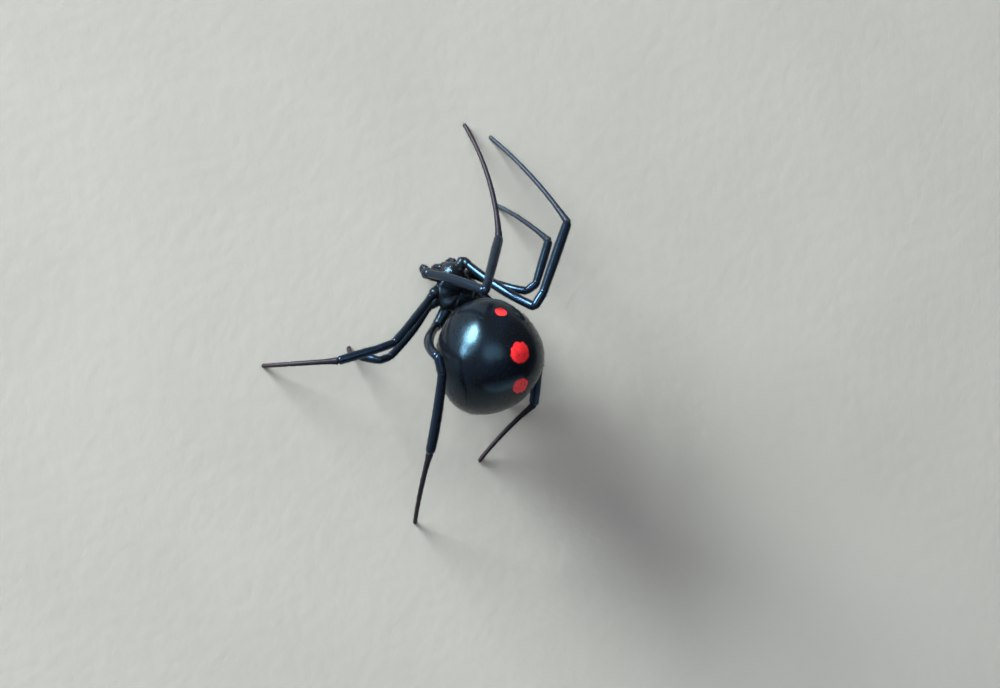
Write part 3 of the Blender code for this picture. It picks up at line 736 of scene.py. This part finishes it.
def abdomen_finish():
    """Glossy black shell, slightly bluer from place to place, with the red marks; pores of the
    hairs and very fine wrinkles as bump."""
    material, shader, place = shell("glossy_black_abdomen", {"Specular IOR Level": 0.27,
                                                             "Specular Tint": CYAN_SHEEN})
    cloud = place.noise(420.0, 4.0)
    fine = place.noise(GRAIN, 3.0, 0.6)
    rough = (place.noise(2300.0, 3.0) - 0.5) * 0.55
    red = hourglass_mask(place, rough)
    for spot in SPOTS:
        red = red.larger(spot_mask(place, spot, rough))
    ground = cloud.eased(0.35, 0.7).colours(BLACK, BLUE_BLACK)
    paint = place.noise(1500.0, 3.0).eased(0.35, 0.75).colours(RED, DEEP_RED)
    pores = place.cells(5200.0).eased(0.0, 0.32)
    height = pores * 0.5 + fine * 0.8 + place.noise(1500.0, 4.0) * 1.6
    roughness = cloud * 0.10 + fine * 0.08 + 0.11 + red * 0.12
    wear(shader, red.colours(ground, paint), roughness, height, 0.0000045)
    return material


def carapace_finish():
    """Satin black shell with fine grains, browner on the small parts that carry their own brown and at
    their joints.
    """
    material, shader, place = shell("satin_black_shell", {"Specular IOR Level": 0.30,
                                                          "Specular Tint": BLUE_SHEEN})
    cloud = place.noise(700.0, 4.0)
    brown = place.mark("brown")
    ground = (cloud * 0.5 + brown * 0.9).eased(0.2, 1.0).colours(SHELL_GREY, BROWN_BLACK)
    height = place.cells(8200.0).eased(0.0, 0.5) + place.noise(2600.0, 4.0) * 1.4
    wear(shader, ground, cloud * 0.14 + 0.25, height, 0.000003)
    return material


def leg_finish(name, shine, sheen, roughness, far):
    """Blue-black shell that turns to the far colour towards the feet and at the joints, with
    fine unevenness."""
    material, shader, place = shell(name, {"Specular IOR Level": shine, "Specular Tint": sheen})
    brown = place.mark("brown")
    cloud = place.noise(900.0, 4.0)
    ground = (brown * 0.9 + cloud * 0.35 - 0.1).eased(0.05, 0.95).colours(LEG_BLUE, far)
    height = place.cells(7600.0).eased(0.0, 0.4) * 0.9 + place.noise(3200.0, 4.0) * 1.5
    wear(shader, ground, cloud * 0.10 + brown * 0.08 + roughness, height, 0.0000026)
    return material


def hair_finish():
    """Black-brown hairs, some paler."""
    material, shader, place = shell("black_hair", {"Specular IOR Level": 0.12})
    cloud = place.noise(5200.0, 2.0)
    wear(shader, cloud.eased(0.35, 0.75).colours(HAIR_BLACK, HAIR_BROWN), cloud * 0.25 + 0.45)
    return material


def eye_finish():
    """Very glossy, near black with an amber depth."""
    material, shader, place = shell("black_eye", {"Coat Weight": 1.0, "Coat Roughness": 0.03})
    cloud = place.noise(6500.0, 2.0)
    wear(shader, cloud.eased(0.4, 0.8).colours(EYE_BLACK, EYE_AMBER), cloud * 0.08 + 0.05)
    return material


def claw_finish():
    """Smooth horn: near black at the root, red-brown at the tip."""
    material, shader, place = shell("red_brown_horn", {"Coat Weight": 0.3, "Coat Roughness": 0.08})
    brown = place.mark("brown")
    cloud = place.noise(4200.0, 3.0)
    ground = (brown + cloud * 0.3 - 0.15).eased(0.1, 1.0).colours(HORN_BLACK, HORN_RED)
    wear(shader, ground, cloud * 0.15 + 0.15, cloud, 0.000003)
    return material


def floor_finish():
    """Pale matt studio floor with the faintest mottling."""
    material, shader, place = shell("pale_floor", {"Specular IOR Level": 0.25})
    cloud = place.noise(60.0, 5.0)
    wear(shader, cloud.eased(0.3, 0.7).colours(FLOOR_DARK, FLOOR_PALE), cloud * 0.1 + 0.75,
         place.noise(900.0, 3.0), 0.00002)
    return material


# ---------------------------------------------------------------- the spider's pieces

def spinneret_cones():
    """The low collar, the small middle cone behind it, and the three pairs of cones."""
    seat, out = SPINNERET_SEAT, SPINNERET_OUT
    backward = unit(np.cross(LEFT, out))
    cones = [Limb(seat - out * 0.35, seat + out * 0.28,
                  ((0, 0.66), (0.6, 0.64), (1, 0.5)), (0.1, 0.22), brown=(0.2, 0.6)),
             Limb(seat + backward * 0.48, seat + backward * 0.52 + out * 0.55,
                  ((0, 0.16), (0.6, 0.13), (1, 0.06)), (0.1, 0.08), brown=(0.4, 0.8))]
    for across, back, length, radius in SPINNERETS:
        marks = ((0, radius), (0.55, radius * 0.96), (0.6, radius * 0.86), (0.85, radius * 0.7),
                 (1, radius * 0.4))
        for hand in (-1, 1):
            aside = LEFT * across * hand + backward * back
            cones.append(Limb(seat + aside, seat + out * (length - 0.02) + aside * 0.8, marks,
                              (0.1, 0.10), brown=(0.3, 0.9)))
    return cones


def build_body(abdomen_black, shell_black, eye_black, hair, rng):
    """The abdomen with its spinnerets, and the carapace and sternum with mouth plates,
    coxae, trochanters, stalk and eyes."""
    cones = spinneret_cones()
    skins = [skin(abdomen_skin, *MESH["abdomen"], brown=no_tone)]
    skins += [cone.skin(*MESH["spinneret"]) for cone in cones]
    put("abdomen_skin", *joined(skins), abdomen_black, "abdomen", ["abdomen"])
    tufts = [hairs(abdomen_skin, rng, **HAIRS["abdomen"])]
    tufts += [hairs(cone.place, rng, **HAIRS["spinneret"]) for cone in cones[2:]]
    coat("abdomen_hairs", tufts, "abdomen", hair)

    roots = mouth_limbs() + [pedicel()]
    roots += [limbs[part] for limbs in LIMBS.values() for part in ("coxa", "trochanter")]
    skins = [skin(cephalothorax_skin, *MESH["shield"], brown=no_tone)]
    skins += [root.skin(*MESH["root"]) for root in roots]
    put("cephalothorax_skin", *joined(skins), shell_black, "cephalothorax", ["cephalothorax"])
    tufts = [hairs(cephalothorax_skin, rng, **HAIRS["shield"])]
    tufts += [hairs(root.place, rng, **HAIRS["root"]) for root in roots]
    coat("cephalothorax_hairs", tufts, "cephalothorax", hair)

    ahead, round_off = np.array((0, EYE_RADIUS, 0)), (EYE_RADIUS, EYE_RADIUS)
    eyes = [Limb(eye - ahead, eye + ahead, ((0, EYE_RADIUS), (1, EYE_RADIUS)), round_off)
            for eye in eye_spots()]
    put("eyes", *joined([eye.skin(*MESH["eye"]) for eye in eyes]), eye_black, "cephalothorax")


def build_mouth(shell_black, leg_black, horn, hair, rng):
    """Jaws, fangs and palps. The hairs of a palp's segments share its baked map."""
    for side, hand in (("left", 1), ("right", -1)):
        jaw, fang = jaw_limbs(hand)
        chelicera, palp = f"chelicera_{side}", f"palp_{side}"
        put(f"{chelicera}_skin", *jaw.skin(*MESH["jaw"]), shell_black, chelicera, [chelicera])
        put(f"fang_{side}", *fang.skin(*MESH["fang"]), horn, chelicera)
        coat(f"{chelicera}_hairs", [hairs(jaw.place, rng, **HAIRS["jaw"])], chelicera, hair)
        segments = palp_limbs(hand)
        skins = [segment.skin(*MESH["palp"]) for segment in segments]
        put(f"{palp}_skin", *joined(skins), leg_black, palp, [palp])
        hairy = segments[:-1]
        tufts = [hairs(segment.place, rng, window=(k / len(hairy), (k + 1) / len(hairy)), **HAIRS["palp"])
                 for k, segment in enumerate(hairy)]
        coat(f"{palp}_hairs", tufts, palp, hair)


def leg_tufts(limbs, rng):
    """The hairs of one leg's five segments, which share its baked map."""
    tufts = []
    for k, (part, (count, length)) in enumerate(LEG_HAIRS.items()):
        limb, window = limbs[part], (k / len(LEG_HAIRS), (k + 1) / len(LEG_HAIRS))
        count = int(count * limb.length / LEG_HAIR_SPACE) + LEG_HAIR_LEAST
        tufts.append(hairs(limb.place, rng, count, length, LEG_HAIR_WIDTH, LEG_HAIR_LEAN, window))
    return tufts


def build_legs(leg_black, foot_brown, foot_painted_sheen, horn, hair, rng):
    """Three skins for each leg, one coat and the claws."""
    for name, limbs in LIMBS.items():
        leg, foot_finish = f"leg_{name}", foot_painted_sheen if name in PAINTED_SHEEN_FEET else foot_brown
        for node, parts, finish in (("femur", ("femur",), leg_black),
                                    ("tibia", ("patella", "tibia"), leg_black),
                                    ("foot", ("metatarsus", "tarsus"), foot_finish)):
            skins = [limbs[part].skin(*MESH[part]) for part in parts]
            put(f"{leg}_{node}_skin", *joined(skins), finish, f"leg_{node}", [f"{leg}_{node}"])
        put(f"{leg}_claws", *claws(limbs["tarsus"]), horn, "leg_foot")
        coat(f"{leg}_hairs", leg_tufts(limbs, rng), "leg_tibia", hair)


def build_spider():
    """Every finish and every piece. The hairs' random draws come in one fixed order."""
    abdomen_black, shell_black = abdomen_finish(), carapace_finish()
    leg_black = leg_finish("leg_black", 0.36, DEEP_SHEEN, 0.16, FOOT_BROWN)
    foot_brown = leg_finish("foot_brown", 0.11, BROWN_SHEEN, 0.30, FOOT_BROWN)
    # Feet painted blue: a painted reflection, not the feet's own colour.
    foot_painted_sheen = leg_finish("foot_painted_sheen", 0.11, BROWN_SHEEN, 0.30, FOOT_PAINTED_SHEEN)
    hair, eye_black, horn = hair_finish(), eye_finish(), claw_finish()
    rng = np.random.default_rng(HAIR_SEED)
    build_body(abdomen_black, shell_black, eye_black, hair, rng)
    build_mouth(shell_black, leg_black, horn, hair, rng)
    build_legs(leg_black, foot_brown, foot_painted_sheen, horn, hair, rng)


# ---------------------------------------------------------------- floor, camera, light

FLOOR_RADIUS, FLOOR_CORNERS = 1.5, 96


def floor():
    """A flat round floor, wide enough for every view."""
    turns = np.arange(FLOOR_CORNERS) * FULL_TURN / FLOOR_CORNERS
    rim = np.stack((np.cos(turns), np.sin(turns), 0 * turns), -1) * FLOOR_RADIUS
    mesh = bpy.data.meshes.new("floor")
    mesh.from_pydata(rim.tolist(), [], [list(range(FLOOR_CORNERS))])
    mesh.materials.append(floor_finish())
    thing = bpy.data.objects.new("floor", mesh)
    bpy.context.scene.collection.objects.link(thing)


# The camera's place in mm, the directions of its picture's right and top, and the one from
# what it sees back to it; its focal length and the width of its film in mm.
CAMERA_PLACE = (102.5233, -12.5012, 200.5519)
CAMERA_RIGHT = (-0.8528619, 0.2306523, 0.4684294)
CAMERA_UP = (-0.2285237, -0.9715421, 0.0623132)
CAMERA_BACK = (0.4694716, -0.0539027, 0.8813007)
FOCAL_LENGTH, FILM_WIDTH = 106.13, 36.0

PLAIN, COOL, FRESH = (1.0, 0.98, 0.96), (0.86, 0.94, 1.0), (0.93, 1.0, 0.95)
ROOM, ROOM_BRIGHTNESS = (0.78, 0.88, 1.0, 1), 0.11
# Soft panels round the abdomen: azimuth and elevation in degrees, distance and size in mm,
# brightness and colour. Azimuth 0 stands before the head (-Y), 90 on the left side (+X).
PANELS = {
    "key": (36, 11, 900, (480, 330), 100.0, FRESH),
    "key_low": (61, 6, 900, (260, 180), 44.0, COOL),
    "key_side": (17, 8, 900, (236, 194), 9.0, COOL),
    "key_rim": (42, 13, 920, (900, 544), 5.0, COOL),
    "overhead": (60, 64, 320, (150, 190), 3.0, PLAIN),
    "overhead_rim": (60, 66, 340, (300, 320), 0.9, PLAIN),
    "behind": (188, 7, 300, (330, 72), 0.8, COOL),
    "behind_rim": (186, 11, 320, (430, 170), 0.7, COOL),
}


def facing(right, up, back, place):
    """Where a camera or a lamp stands and how it is turned, as one matrix."""
    return Matrix([(*row, p) for row, p in zip(np.stack((right, up, back), 1), place)] + [(0, 0, 0, 1)])


def set_camera():
    """Looks down on the spider's left side, the head at the top of the picture."""
    lens = bpy.data.cameras.new("camera")
    lens.lens, lens.sensor_width, lens.clip_start = FOCAL_LENGTH, FILM_WIDTH, 0.01
    camera = bpy.data.objects.new("camera", lens)
    camera.matrix_world = facing(CAMERA_RIGHT, CAMERA_UP, CAMERA_BACK, to_world(CAMERA_PLACE))
    bpy.context.scene.collection.objects.link(camera)
    bpy.context.scene.camera = camera


def panel(name, azimuth, elevation, distance, size, radiance, colour):
    """A soft oval panel that faces the abdomen. Its power is radiance * pi * its area."""
    light = bpy.data.lights.new(name, "AREA")
    light.shape, light.size, light.size_y = "ELLIPSE", *(x * MM for x in size)
    light.energy, light.color = radiance * math.pi * light.size * light.size_y * math.pi / 4, colour
    a, e = math.radians(azimuth), math.radians(elevation)
    back = np.array((math.sin(a) * math.cos(e), -math.cos(a) * math.cos(e), math.sin(e)))
    right = unit(np.cross((0.0, 0.0, 1.0), back))
    lamp = bpy.data.objects.new(name, light)
    lamp.matrix_world = facing(right, np.cross(back, right), back,
                               to_world(ABDOMEN_MIDDLE + back * distance))
    lamp.visible_camera = False
    bpy.context.scene.collection.objects.link(lamp)


def set_light():
    """The panels, and a dim blue-grey room."""
    for name, values in PANELS.items():
        panel(name, *values)
    room = bpy.data.worlds.new("room")
    room.use_nodes = True
    air = room.node_tree.nodes["Background"]
    air.inputs["Color"].default_value = ROOM
    air.inputs["Strength"].default_value = ROOM_BRIGHTNESS
    bpy.context.scene.world = room
    bpy.context.scene.view_settings.view_transform = "Standard"


build_spider()
floor()
set_camera()
set_light()
